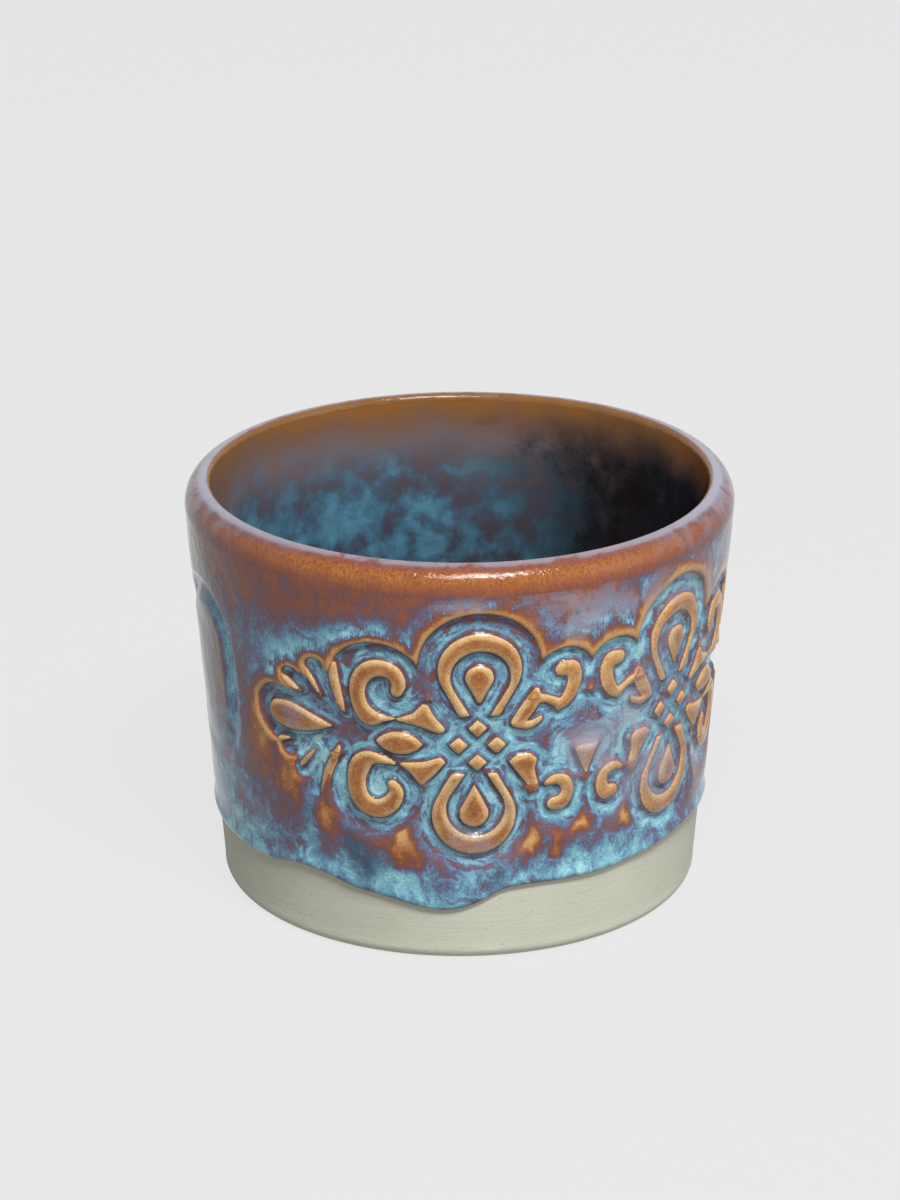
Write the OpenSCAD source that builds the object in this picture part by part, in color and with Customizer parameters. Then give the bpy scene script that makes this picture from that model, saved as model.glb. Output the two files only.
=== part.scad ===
// Hand-built stoneware espresso cup: a rolled clay wall with a pressed scroll ornament, closed by a floor disc,
// joined with slip and a coil, and glazed inside and out above a bare foot. Millimetres, +Z up.
// The origin is the middle of the foot, on the table, and -Y is the side that is seen first.

/* [Cup] */
// Diameter over the glazed lip
rim_d = 72; // [66:0.5:90]
// Diameter of the clay wall at the table
base_d = 62; // [56:0.5:80]
// Height over the glazed lip
height = 55.5; // [53:0.5:80]

/* [Clay] */
// Thickness of the rolled wall
wall_t = 3; // [2.4:0.1:5]
// Thickness of the floor disc
floor_t = 4; // [2.5:0.1:8]
// Radius of the outer edge of the foot
foot_r = 1.7; // [0.5:0.1:2.2]
// Radius of the hollow face of the coil in the inside corner
coil_r = 4; // [2:0.1:8]
// How far the coil's face is pressed towards the corner, which ends the coil in an edge
coil_press = 0.4; // [0.2:0.05:0.8]
// Thickness of the slip in the joints
slip_t = 0.4; // [0.2:0.05:0.8]
// Slant of the wall's seam, away from square through the wall
seam_slant = 30; // [10:1:35]

/* [Glaze] */
// Thickness of the glaze
glaze_t = 0.35; // [0.2:0.05:0.6]
// Depth of the glaze that has pooled on the pressed ground
pool_t = 0.5; // [0.3:0.05:0.8]
// Height of the bare clay above the table, where the coat ends between its runs
run_z = 10.6; // [8:0.1:12]
// Length of the longest run of glaze below that height
run_length = 3.2; // [1:0.1:5]
// Width of the longest run
run_w = 17; // [10:0.5:22]

/* [Ornament] */
// Depth of the pressed ground below the wall
press_depth = 1; // [0.9:0.05:1.4]
// Height of the ornament's middle line over the middle of the frieze
ornament_rise = -0.4; // [-0.8:0.1:0.8]
// Turn of the ornament's middle about the axis, from the seen side
ornament_turn = 28.5; // [0:0.5:60]
// Distance along the wall between the two columns of an ornament
column_gap = 28.9; // [28:0.1:31]
// Radius of a column's open loop
loop_r = 5.15; // [4.8:0.05:5.4]
// Radius of the hole in a loop
loop_hole_r = 3.7; // [3.3:0.05:3.9]
// Radius of the drop in a loop
drop_r = 1.75; // [1.2:0.05:2.2]
// Half the diagonal of a lozenge
lozenge_r = 1.3; // [0.9:0.05:1.5]
// Radius of an outer scroll
scroll_r = 3.7; // [3.4:0.05:4]
// Radius of the hole in an outer scroll
scroll_hole_r = 2.15; // [1.7:0.05:2.4]
// Half the length of the lens between two outer scrolls
lens_l = 3.05; // [2.4:0.05:3.3]
// Half the height of that lens
lens_h = 1.6; // [1:0.05:1.8]
// Radius of the round end of the big leaf
leaf_r = 2.05; // [1.5:0.05:2.6]
// Length of the big leaf from that end's middle to its tip
leaf_l = 8; // [6:0.1:8.5]
// Half the width of the plain petal between two ornaments
petal_r = 6; // [4:0.1:6.5]
// Width of the sunk groove round a petal
petal_groove = 2.2; // [1.5:0.1:2.6]
// Radius of the sunk ground round a loop
loop_ground_r = 7.7; // [7.2:0.05:8]
// Radius of the sunk ground round an outer scroll
scroll_ground_r = 6.45; // [6.2:0.05:6.8]
// Radius of the sunk ground round an inner curl
curl_ground_r = 4.2; // [4:0.05:4.6]
// Height of the plain band between the table and the sunk frieze
foot_band = 14; // [13:0.1:15]
// Height of the plain band between the frieze and the top of the lip
rim_band = 6.5; // [5.5:0.1:7.5]
// Height of the slope at each edge of the frieze
frieze_slope = 0.8; // [0.4:0.1:1.2]

/* [Hidden] */
$fn = 96;

clay = [0.80, 0.77, 0.67];
slip = [0.72, 0.68, 0.58];
glaze_blue = [0.42, 0.55, 0.66];
glaze_teal = [0.24, 0.36, 0.40];

// The wall leans outwards: its outer face touches the round lip and the foot's edge
lip_r = wall_t / 2;
lip_c = [rim_d / 2 - glaze_t - lip_r, height - glaze_t - lip_r];
lip_reach = [lip_c[0] - base_d / 2, lip_c[1]];
lean = atan2(lip_reach[0], lip_reach[1]) + asin(lip_r / norm(lip_reach));
out = [cos(lean), -sin(lean)];

// Radius of the wall's outer face at a height, moved outwards square to the face
function face_r(z, off = 0) = base_d / 2 + z * tan(lean) + off / cos(lean);
// Radius of the wall's inner face at a height, moved inwards square to the face
function bore_r(z, off = 0) = face_r(z, -wall_t - off);

// Round of the foot and middle of the coil's hollow face
foot_c = [base_d / 2 - foot_r * (1 - sin(lean)) / cos(lean), foot_r];
coil_c = [bore_r(floor_t + coil_r, coil_r) + coil_press, floor_t + coil_r - coil_press];

// Heights of the frieze's edges and of the ornament's middle line above the table
frieze_low = foot_band;
frieze_high = height - rim_band;
ornament_z = (frieze_low + frieze_high) / 2 + ornament_rise;

// Length along the wall to an angle about the axis and back, at the ornament's middle line
function turn_of(length) = length / face_r(ornament_z) * 180 / PI;
function length_of(turn) = turn * face_r(ornament_z) * PI / 180;

// Room past a face that a cutting shape needs, and how deep a raised figure is rooted in the wall
spare = 1;
root = 0.4;
// Steps in a round of a section, and in the round end of a drop
section_steps = 12;
drop_steps = 20;

// Runs of glaze below the coat's edge: turn about the axis, share of the longest length, share of its width
runs = [[-5, 1, 1], [-72, 0.4, 0.8], [62, 0.25, 0.9], [150, 0.7, 0.75], [208, 0.45, 0.95], [258, 0.6, 0.8]];

// Outlines of the figures in millimetres, each from its own place along the wall and above the middle line.
// All lie on the left of an ornament's middle, and are mirrored to its right.
trumpet_at = [-21.45, 3.8];
trumpet = [[-3.2, -0.4], [0.5, 2], [2.8, -1.4], [2.1, -2]];
trumpet_hollows = [[-3, 3.6, 3.9], [-2.4, -6, 5.6]];
scroll_at = [-27.05, 7.7];
scroll_hole_at = [0.4, -0.8];
scroll_spine = [3.3, -1.2, 7];
scroll_foot = [[-3.9, 0], [-1, 0], [-0.7, -3], [1.9, -3.8], [2, -4.4], [-1.6, -5.8], [-3.9, -5.8]];
scroll_mouth = [[0.4, -0.8], [4.5, -1.2], [4.5, -5], [0.4, -5]];
lens_at = [-24.4, 0];
upper_bar_at = [-32.2, 6.9];
upper_bar = [[-1, 3.6], [0.4, 2.8], [0.3, 0.5], [0.5, -3.4], [0.1, -3.5], [-0.8, -1.8], [-1.1, 0.5]];
lower_bar_at = [-34.2, -6.1];
lower_bar = [[1.7, 4.4], [1.9, 3.6], [0.6, 1], [-0.2, -1.5], [0.5, -5.6], [-0.9, -5.6], [-1.2, -3], [-0.9, 0]];
upper_sliver_at = [-36.4, 7.1];
upper_sliver = [[-1.8, 2.6], [-0.5, 1.8], [0.5, 0], [1.3, -2], [0.4, -1.2], [-0.8, 0.7]];
lower_sliver_at = [-37.6, -4.2];
lower_sliver = [[1.5, 1.5], [0.7, 0.5], [-1.3, -1.4], [-0.7, -0.2], [0.6, 1.2]];
leaf_at = [-41.25, 0.85];
curl_at = [-5.3, 6.4];
curl = [
    [-2, 1.4], [-0.9, 0.1], [1.5, 0], [2.2, 0.9], [2.3, 2.2], [1.9, 2.9], [0.4, 2.8], [0.3, 4.2], [1.3, 4.7],
    [2.6, 4.4], [3.5, 3.2], [3.5, 1.2], [2.9, -0.6], [1.6, -2.3], [0.4, -1.2], [-1.2, -0.9], [-2.3, -2.2],
    [-1.2, -3.2], [-2.4, -4.3], [-3.8, -4.3], [-5, -3]
];
hook_at = [-4.1, -7.7];
hook_r = 2.5;
hook_hole = [-0.4, 0.7, 1.35];
hook_mouth = [[-0.4, 0.7], [-0.4, -0.2], [-3, -0.7], [-3, 1.9], [-1.1, 1.9]];
horn_at = [-8.7, -4.4];
horn = [[-1.7, 1.4], [-0.8, 2.3], [1.4, 2.4], [1.8, 1.1], [1, -0.4], [2.1, -2.3], [1.5, -2.9]];
point_at = [0.3, -3.7];
point = [[-2.1, 2.1], [2.1, 2.1], [0, -1.9]];

// Heights of a column's figures above the middle line, how far the legs of a loop reach down, and the share of
// a lozenge's half diagonal that its rounded corners keep
loop_v = 10.5;
loop_tip = 11.3;
loop_hole_v = 9.5;
loop_hole_tip = 7.5;
loop_end_v = 4.1;
drop_tip = 3.8;
lozenge_v = 2.4;
lozenge_round = 0.9;

// Plain petal: height of its round top's middle and of its foot over the middle line
petal_top = 5.4;
petal_foot = -11;

// Sunk ground, from the ornament's middle and above the middle line: middles of its rounds above the line, half
// the height of the part between them, and the outline of the part round the leaves
scroll_ground_at = [-27.25, 7.5];
curl_ground_at = [-3.65, 8.8];
ground_half_v = 7;
leaf_ground = [
    [-27, 12], [-35.2, 11.4], [-39.6, 10.6], [-43, 7], [-44.6, 3.5], [-44.6, -1], [-42.6, -5], [-39, -8.2],
    [-36.4, -12.8], [-27, -12]
];

// Half the length of the front ornament with its sunk edge, and of the one at the back, which has no leaves
ornament_half = 46;
back_half = 35;
// Middle of the plain field beside each of them, from its middle, and how far the fields lap over each other
front_field = -30;
back_field = -26;
field_lap = 2.2;

// Turns from the front ornament's middle to a petal, half way to the back one, and to the seam, which lies
// between that petal and the next outer scroll
petal_turn = (turn_of(ornament_half) + 180 - turn_of(back_half)) / 2;
seam_turn = (petal_turn + turn_of(petal_r) + 180 - turn_of(scroll_r - scroll_at[0])) / 2;

// Points along a round, between two angles
function round_points(middle, r, from, to) = [
    for (i = [0:section_steps]) let (a = from + (to - from) * i / section_steps) middle + r * [cos(a), sin(a)]
];
function backwards(points) = [for (i = [len(points) - 1:-1:0]) points[i]];

// A round end with a tip below it
module drop(r, tip) {
    side = acos(r / tip);
    polygon(concat(
        [[0, -tip]],
        [for (i = [0:drop_steps]) let (a = side + (360 - 2 * side) * i / drop_steps) r * [sin(a), -cos(a)]]
    ));
}

// Open loop of a column, from the middle line up
module loop() {
    difference() {
        intersection() {
            translate([0, loop_v]) drop(loop_r, loop_tip);
            translate([-height, loop_end_v]) square(2 * height);
        }
        translate([0, loop_hole_v]) drop(loop_hole_r, loop_hole_tip);
    }
}

// Lozenge with rounded corners
module lozenge() {
    intersection() {
        rotate(45) square(lozenge_r * sqrt(2), center = true);
        circle(lozenge_r * lozenge_round);
    }
}

// Triangle with hollow sides between an outer scroll and a column
module trumpet() {
    difference() {
        polygon(trumpet);
        for (hollow = trumpet_hollows) translate([hollow[0], hollow[1]]) circle(hollow[2]);
    }
}

// Outer scroll: a crescent that opens at its lower right and ends in a broad foot
module outer_scroll() {
    difference() {
        union() {
            difference() {
                circle(scroll_r);
                polygon(scroll_mouth);
            }
            intersection() {
                translate([scroll_spine[0], scroll_spine[1]]) circle(scroll_spine[2]);
                polygon(scroll_foot);
            }
        }
        translate(scroll_hole_at) circle(scroll_hole_r);
    }
}

// Pointed lens, from two arcs
module lens() {
    arc_r = (pow(lens_l, 2) + pow(lens_h, 2)) / (2 * lens_h);
    intersection() {
        translate([0, lens_h - arc_r]) circle(arc_r);
        translate([0, arc_r - lens_h]) circle(arc_r);
    }
}

// Small hook below the inner curl
module hook() {
    difference() {
        circle(hook_r);
        translate([hook_hole[0], hook_hole[1]]) circle(hook_hole[2]);
        polygon(hook_mouth);
    }
}

// Plain petal with a round top
module petal(r) {
    translate([0, petal_top]) circle(r);
    translate([-r, petal_foot]) square([2 * r, petal_top - petal_foot]);
}

// Layer that follows the wall's outer face between two distances from it and two heights
module wall_layer(from, to, low, high) {
    rotate_extrude()
        polygon([
            [face_r(low, from), low], [face_r(low, to), low], [face_r(high, to), high], [face_r(high, from), high]
        ]);
}

// Cuts an outline out of a layer of the wall, at a turn about the axis and a height
module on_wall(turn, z, layer, low, high) {
    intersection() {
        wall_layer(layer[0], layer[1], low, high);
        rotate(turn) translate([0, 0, z]) rotate([90, 0, 0]) linear_extrude(face_r(high, 2 * spare)) children();
    }
}

// One figure of the ornament, at a length along the wall and a height over the middle line
module figure(turn, at, layer) {
    on_wall(turn + turn_of(at[0]), ornament_z + at[1], layer, frieze_low, frieze_high) children();
}

// The same on both sides of an ornament's middle
module both_sides(turn, at, layer) {
    figure(turn, at, layer) children();
    figure(turn, [-at[0], at[1]], layer) mirror([1, 0]) children();
}

// The same above and below the middle line as well
module all_four(turn, at, layer) {
    both_sides(turn, at, layer) children();
    both_sides(turn, [at[0], -at[1]], layer) mirror([0, 1]) children();
}

// Figures that an ornament has on any side of the cup
module main_figures(turn, layer) {
    column_at = [-column_gap / 2, 0];
    all_four(turn, column_at, layer) loop();
    all_four(turn, column_at, layer) translate([0, loop_hole_v]) drop(drop_r, drop_tip);
    for (quarter = [0:3])
        both_sides(turn, column_at, layer) rotate(90 * quarter) translate([lozenge_v, 0]) lozenge();
    all_four(turn, trumpet_at, layer) trumpet();
    all_four(turn, scroll_at, layer) outer_scroll();
    both_sides(turn, lens_at, layer) lens();
    both_sides(turn, curl_at, layer) polygon(curl);
    both_sides(turn, hook_at, layer) hook();
    both_sides(turn, horn_at, layer) polygon(horn);
    figure(turn, point_at, layer) polygon(point);
}

// Big leaf and the thin bars beside it, at both ends of the front ornament
module end_figures(turn, layer) {
    both_sides(turn, leaf_at, layer) rotate(90) drop(leaf_r, leaf_l);
    both_sides(turn, upper_bar_at, layer) polygon(upper_bar);
    both_sides(turn, lower_bar_at, layer) polygon(lower_bar);
    both_sides(turn, upper_sliver_at, layer) polygon(upper_sliver);
    both_sides(turn, lower_sliver_at, layer) polygon(lower_sliver);
}

// All raised figures, as far as they lie in a layer of the wall
module figures(layer) {
    for (turn = [0, 180]) main_figures(ornament_turn + turn, layer);
    end_figures(ornament_turn, layer);
    for (side = [-1, 1]) figure(ornament_turn + side * petal_turn, [0, 0], layer) petal(petal_r);
}

// Sunk ground on the left of an ornament's middle, without the part round the leaves
module ground_rounds() {
    for (side = [-1, 1]) scale([1, side]) {
        translate([-column_gap / 2, loop_v]) circle(loop_ground_r);
        translate(scroll_ground_at) circle(scroll_ground_r);
    }
    translate([scroll_ground_at[0], -ground_half_v]) square([-scroll_ground_at[0], 2 * ground_half_v]);
}

// Plain field between the two columns of an ornament, above its ground
module inner_field() {
    difference() {
        translate([-column_gap / 2, curl_ground_at[1]]) square([column_gap, height]);
        for (side = [-1, 1]) scale([side, 1]) {
            translate([-column_gap / 2, loop_v]) circle(loop_ground_r);
            translate(curl_ground_at) circle(curl_ground_r);
        }
    }
}

// Plain field at the end of an ornament, from a column out to half the ornament's length
module outer_field(half) {
    difference() {
        translate([-half - field_lap, -height]) square([half + field_lap - column_gap / 2, 2 * height]);
        ground_rounds();
        children();
    }
}

// Plain field round a petal, out to the ornaments on both sides
module petal_field(half) {
    difference() {
        translate([-half, -height]) square([2 * half, 2 * height]);
        petal(petal_r + petal_groove);
    }
}

// All plain fields of the frieze, as far as they lie in a layer of the wall
module fields(layer) {
    for (turn = [0, 180]) for (side = [0, 1])
        figure(ornament_turn + turn, [0, 0], layer) mirror([0, side]) inner_field();
    both_sides(ornament_turn, [front_field, 0], layer)
        translate([-front_field, 0]) outer_field(ornament_half) polygon(leaf_ground);
    both_sides(ornament_turn + 180, [back_field, 0], layer) translate([-back_field, 0]) outer_field(back_half);
    for (side = [-1, 1])
        figure(ornament_turn + side * petal_turn, [0, 0], layer)
            petal_field(length_of(petal_turn) - ornament_half);
}

// Points of the wall's outer face with the frieze sunk in it, under a coat that lies thicker on the frieze
function frieze_face(coat, pool) = [
    [face_r(frieze_low, coat), frieze_low],
    [face_r(frieze_low + frieze_slope, pool - press_depth), frieze_low + frieze_slope],
    [face_r(frieze_high - frieze_slope, pool - press_depth), frieze_high - frieze_slope],
    [face_r(frieze_high, coat), frieze_high]
];

// Points over the lip, from the outer face to the inner one
function lip_points(r) = round_points(lip_c, r, -lean, 180 - lean);

// The rolled wall with its frieze, before its fields, its seam and its figures
module wall_ring() {
    rotate_extrude()
        polygon(concat(
            [[bore_r(0), 0]], round_points(foot_c, foot_r, -90, -lean), frieze_face(0, 0), lip_points(lip_r)
        ));
}

// Slanted slit where the two ends of the wall meet
module seam_slit() {
    inner = bore_r(0);
    outer = face_r(lip_c[1]);
    rotate(ornament_turn + seam_turn)
        translate([0, -(inner + outer) / 2, height / 2])
            rotate(seam_slant)
                cube([slip_t, (outer - inner + 2 * spare) / cos(seam_slant), height + 2 * spare], center = true);
}

// The same with the fields that stand beside the sunk ground
module pressed_wall() {
    wall_ring();
    fields([-press_depth - root, 0]);
}

module wall_slab() {
    color(clay) {
        difference() {
            pressed_wall();
            seam_slit();
        }
        figures([-press_depth - root, 0]);
    }
}

module seam_slip() {
    color(slip)
        intersection() {
            pressed_wall();
            seam_slit();
        }
}

module floor_disc() {
    color(clay)
        rotate_extrude()
            polygon([[0, 0], [bore_r(0, slip_t), 0], [bore_r(floor_t, slip_t), floor_t], [0, floor_t]]);
}

module floor_slip() {
    color(slip)
        rotate_extrude()
            polygon([
                [bore_r(0, slip_t), 0], [bore_r(0), 0], [bore_r(floor_t), floor_t], [bore_r(floor_t, slip_t), floor_t]
            ]);
}

// Section of the corner that the coil fills, its hollow face set back by the glaze on it
module coil_section(coat) {
    difference() {
        polygon([
            [coil_c[0], floor_t], [bore_r(floor_t), floor_t], [bore_r(coil_c[1] + spare), coil_c[1] + spare],
            [coil_c[0], coil_c[1] + spare]
        ]);
        translate(coil_c) circle(coil_r - coat);
        translate(coil_c) square(rim_d);
        translate([coil_c[0] - rim_d, floor_t - spare]) square(rim_d);
    }
}

module corner_coil() {
    color(clay) rotate_extrude() coil_section(0);
}

// Points of the outer face under a coat, from the coat's edge over the frieze and the lip
function coat_points(coat, pool) = concat(
    [[face_r(run_z, coat), run_z]], frieze_face(coat, pool), lip_points(lip_r + coat)
);

// One run of glaze below the coat's edge, a part of a round
module glaze_run(turn, length, width) {
    round_r = (pow(width / 2, 2) + pow(length, 2)) / (2 * length);
    on_wall(turn, run_z - length + round_r, [0, glaze_t], run_z - length - spare, run_z) circle(round_r);
}

module outside_glaze() {
    color(glaze_blue) {
        difference() {
            rotate_extrude() polygon(concat(coat_points(0, 0), backwards(coat_points(glaze_t, pool_t))));
            figures([-press_depth - spare, spare]);
            fields([-press_depth - spare, spare]);
        }
        figures([0, glaze_t]);
        fields([0, glaze_t]);
        for (run = runs) glaze_run(run[0], run[1] * run_length, run[2] * run_w);
    }
}

// Hollow of the cup, drawn in by a coat on every face
module hollow(coat, over) {
    top = lip_c - (lip_r + coat) * out;
    difference() {
        polygon([
            [0, floor_t + coat], [bore_r(floor_t + coat, coat), floor_t + coat], top,
            top + over * [-out[1], out[0]], top + over * [-out[1], out[0]] - 2 * glaze_t * out, [0, lip_c[1]]
        ]);
        coil_section(coat);
    }
}

module inside_glaze() {
    color(glaze_teal)
        rotate_extrude()
            difference() {
                hollow(0, 0);
                hollow(glaze_t, spare);
            }
}

wall_slab();
floor_disc();
floor_slip();
seam_slip();
corner_coil();
outside_glaze();
inside_glaze();
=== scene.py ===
"""Hand-built espresso cup of pale stoneware with a pressed scroll ornament and a running glaze.

The clay wall and both coats of glaze are flat grids that are pressed and then rolled up, as a potter does
with a slab. Lengths are in millimetres until a mesh is written. A place on the wall is given as along, the
length round the wall from the side that is seen first, and up, the height above the table.
"""

import math

import bpy
import numpy as np
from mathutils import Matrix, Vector


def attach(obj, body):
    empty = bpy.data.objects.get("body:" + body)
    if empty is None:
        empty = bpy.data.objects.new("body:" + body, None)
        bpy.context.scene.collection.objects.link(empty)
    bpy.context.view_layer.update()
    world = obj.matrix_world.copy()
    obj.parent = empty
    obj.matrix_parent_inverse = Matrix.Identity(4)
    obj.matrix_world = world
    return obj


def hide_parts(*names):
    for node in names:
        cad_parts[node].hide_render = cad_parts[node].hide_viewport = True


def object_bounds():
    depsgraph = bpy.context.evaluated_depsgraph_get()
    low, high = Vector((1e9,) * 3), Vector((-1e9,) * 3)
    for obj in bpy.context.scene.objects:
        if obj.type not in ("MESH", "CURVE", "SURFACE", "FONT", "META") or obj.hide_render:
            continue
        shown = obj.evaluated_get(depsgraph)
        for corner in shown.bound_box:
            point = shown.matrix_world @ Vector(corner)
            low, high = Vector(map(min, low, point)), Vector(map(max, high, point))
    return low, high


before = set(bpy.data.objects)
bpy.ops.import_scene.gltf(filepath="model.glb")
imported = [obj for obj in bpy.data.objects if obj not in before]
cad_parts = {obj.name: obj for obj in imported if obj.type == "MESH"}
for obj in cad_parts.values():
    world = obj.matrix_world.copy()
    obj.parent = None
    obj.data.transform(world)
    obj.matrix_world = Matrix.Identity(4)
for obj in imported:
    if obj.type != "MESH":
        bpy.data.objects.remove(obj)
cad_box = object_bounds()

# Sizes of the cup
MM = 0.001
RIM_R = cad_box[1].x / MM
HEIGHT = cad_box[1].z / MM
BASE_R = 31.0
WALL = 3.0
FLOOR = 4.0
FOOT_ROUND = 1.7
# Radius of the coil's hollow face, and how far its middle is set into the corner
COIL_R = 4.0
COIL_PRESS = 0.4
COAT = 0.35
# How deep the ornament's ground is pressed into the clay, and how deep the glaze lies on it
PRESS = 1.0
POOL = 0.5
# How far the clay's face is set in under the outer coat
CLAY_IN = 0.05

# The wall's lean follows from the round of the solid's lip
LIP_R = WALL / 2
LIP_LINE = (RIM_R - COAT - LIP_R - BASE_R, HEIGHT - COAT - LIP_R)
LEAN = math.atan2(*LIP_LINE) + math.asin(LIP_R / math.hypot(*LIP_LINE))
# The lip: how far its shoulder outside and its edge inside drop, and how wide that edge is
SHOULDER_H = 3.4
EDGE_H = 1.1
EDGE_W = 0.75
# Angle short of a half turn at which the lip's round has the lean of the bore
LIP_STOPS = math.atan(math.tan(LEAN) * EDGE_H / EDGE_W)

# Unevenness of the wall, as shares of its radius at the lip: waves, each with their number and start,
# a bulge with its turn and spread, and how far the whole lip is drawn in
WAVES_ROUND = [(0.0035, 2, 0.6), (0.002, 3, -1.1)]
BULGE = 0.02
BULGE_TURN = 2.27
BULGE_SPREAD = 0.18
DRAWN_IN = 0.006
# How far the lip sags at the back, and the radius inside which the sag fades to nothing
RIM_SAG = 1.5
SAGS_FROM = 10.0

# The ornament: radius at which lengths round the wall are measured, and the place of its middle
ROLL_R = 33.6
HALF_ROUND = math.pi * ROLL_R
MIDDLE = 16.85
# The petal on each side of it: its distance, its half width on the near and on the far side, the groove
# round it, the heights of the middles of its round ends, how gentle its slopes are, and the heights between
# which its groove begins
PETAL_AT = 58.4
PETAL_R = 6.0
PETAL_FAR_R = 8.6
PETAL_GROOVE = 2.2
PETAL_TOP = 36.8
PETAL_FOOT = 28.0
PETAL_SOFT = 0.34
PETAL_FADES = (20, 32)
# Distances over which figures rise and the ground sinks, in the glaze and in the clay
FIGURE_SLOPE = (-0.5, 0.45)
GROUND_SLOPE = (-0.12, 0.5)
CLAY_FIGURE_SLOPE = (0, 0.6)
CLAY_GROUND_SLOPE = (-0.1, 0.5)
# Heights between which the ground begins
GROUND_STARTS = (12.5, 15)
# Heights between which the glaze begins to break over the ground's edge, which it floods below them
FLOODED = (20.0, 28.0)
# Greatest distance from an outline that the glaze is told
FAR = 6.0
# Lengths between which the glaze begins and ends to lie thick over the figures, and how much it softens them
THICK_FROM = (8, 18)
THICK_TO = (46, 58)
THICK_SOFTENS = 0.45

# Columns of the grids
OUTER_COLUMNS = 560
CLAY_COLUMNS = 360
INNER_COLUMNS = 256
# Rows of the outer coat: those that crowd towards its run line, and the even ones above them
LOW_ROWS = 14
LOW_CROWD = 1.3
EVEN_FROM = 14.4
EVEN_STEP = 0.31
# Heights of the outer coat's back, and how far out of the clay's face it is there
COAT_BACK = [(51, 0), (50.2, -PRESS), (31, -PRESS), (14.2, -PRESS), (12, 0)]
# Rows of the clay wall: plain ones over the foot, as first, last and number, and even ones above them
PLAIN_ROWS = (2, 13, 12)
CLAY_FROM = 13.6
CLAY_STEP = 0.6
# Rows of the other parts of the sections
LIP_ROWS = 25
CLAY_LIP_ROWS = 13
BACK_LIP_ROWS = 7
FOOT_ROWS = 9
BORE_ROWS = 6
BORE_TOP = 50
CORNER_ROWS = 12
INNER_WALL_ROWS = 60
FLOOR_ROWS = 14
# Steps of a brush stroke between two of its points
STROKE_STEPS = 4
# Corners that are nearer to each other, in metres, are merged
MERGED = 1e-7
# Least angle at which two faces meet in an edge
SHARP = math.radians(75)
# Corners of a face, parts into which the round is cut for baking, and the margin round each
CORNERS = 4
QUARTERS = 4
MARGIN = 0.01

# Lower edge of the outer coat all round the cup, as places along and up, and the columns on each side over
# which it is softened
RUN_LINE = [
    (-100, 10.4), (-89, 9.2), (-78, 10.5), (-68, 9.8), (-60, 8.8), (-52, 10.2), (-43, 9.6), (-29, 9.6),
    (-24, 10.8), (-19, 10.6), (-14.4, 9.4), (-11.5, 9.1), (-7.7, 8.3), (-3.8, 7.45), (-0.5, 7.4), (2.9, 8.6),
    (5.8, 10.5), (9.6, 10.7), (19, 10.6), (24, 10.8), (29, 11.1), (38, 11.6), (50, 10.9), (60, 10.2),
    (72, 11), (82, 9.6), (88, 8.5), (94, 9.6),
]
RUN_SOFT = 4
# Its bead: how far it stands out, at which height over the edge, and the height over which it is rolled
BEAD = 0.28
BEAD_H = 0.8
ROLLED_H = 0.6
# How much thinner the glaze looks at that edge, and over which height
EDGE_THINS = 0.34
EDGE_THIN_H = 0.3
# Ripples of the outer coat: how far they stand out, their number round the cup, the reach and rate of their
# bends up the wall, and the rate up the wall and number round it of the bands in which they come and go
RIPPLE = 0.05
RIPPLES_ROUND = 15
RIPPLES_BEND = (1.3, 0.3)
RIPPLE_BANDS = (0.5, 4)

# Depth of the glaze on the plain wall by height, from 0, thin and amber, to 1, thick and pale turquoise
DEPTH_BY_HEIGHT = [
    (7, 0.76), (10, 0.77), (13, 0.66), (17, 0.46), (21, 0.42), (40, 0.5), (45, 0.45), (48, 0.35),
    (51.4, 0.36), (52.2, 0.35),
]
# The same over the lip, by the share of the way from its shoulder to its edge inside
DEPTH_OVER_LIP = [
    (0, 0.35), (0.08, 0.3), (0.16, 0.25), (0.28, 0.25), (0.35, 0.36), (0.58, 0.42), (0.62, 0.28), (1, 0.28),
]
# How milky the glaze is over the lip all round, partly its own milk and partly a painted pale sheen along
# the crest, and how much more painted sheen there is at the cup's two sides
MILK_AND_SHEEN_OVER_LIP = [(0.36, 0), (0.43, 0.55), (0.56, 0.55), (0.62, 0)]
SHEEN_AT_SIDES = [(0, 0.3), (0.3, 0.5), (0.56, 0.3), (0.62, 0)]
# How much deeper, and so more lavender, the lip is made at the cup's two sides as a painted sheen, where
# that ends on the way over the lip, and how narrow they are
SHEEN_SIDES_DEEPER = 0.16
SHEEN_SIDES_END = (0.5, 0.62)
SHEEN_SIDES_NARROW = 4
# Shares of the way over the lip between which the colour of its inner edge begins
INNER_LIP_FROM = (0.54, 0.66)
# Depth on the sunk ground
GROUND_DEPTH = 0.6
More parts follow.
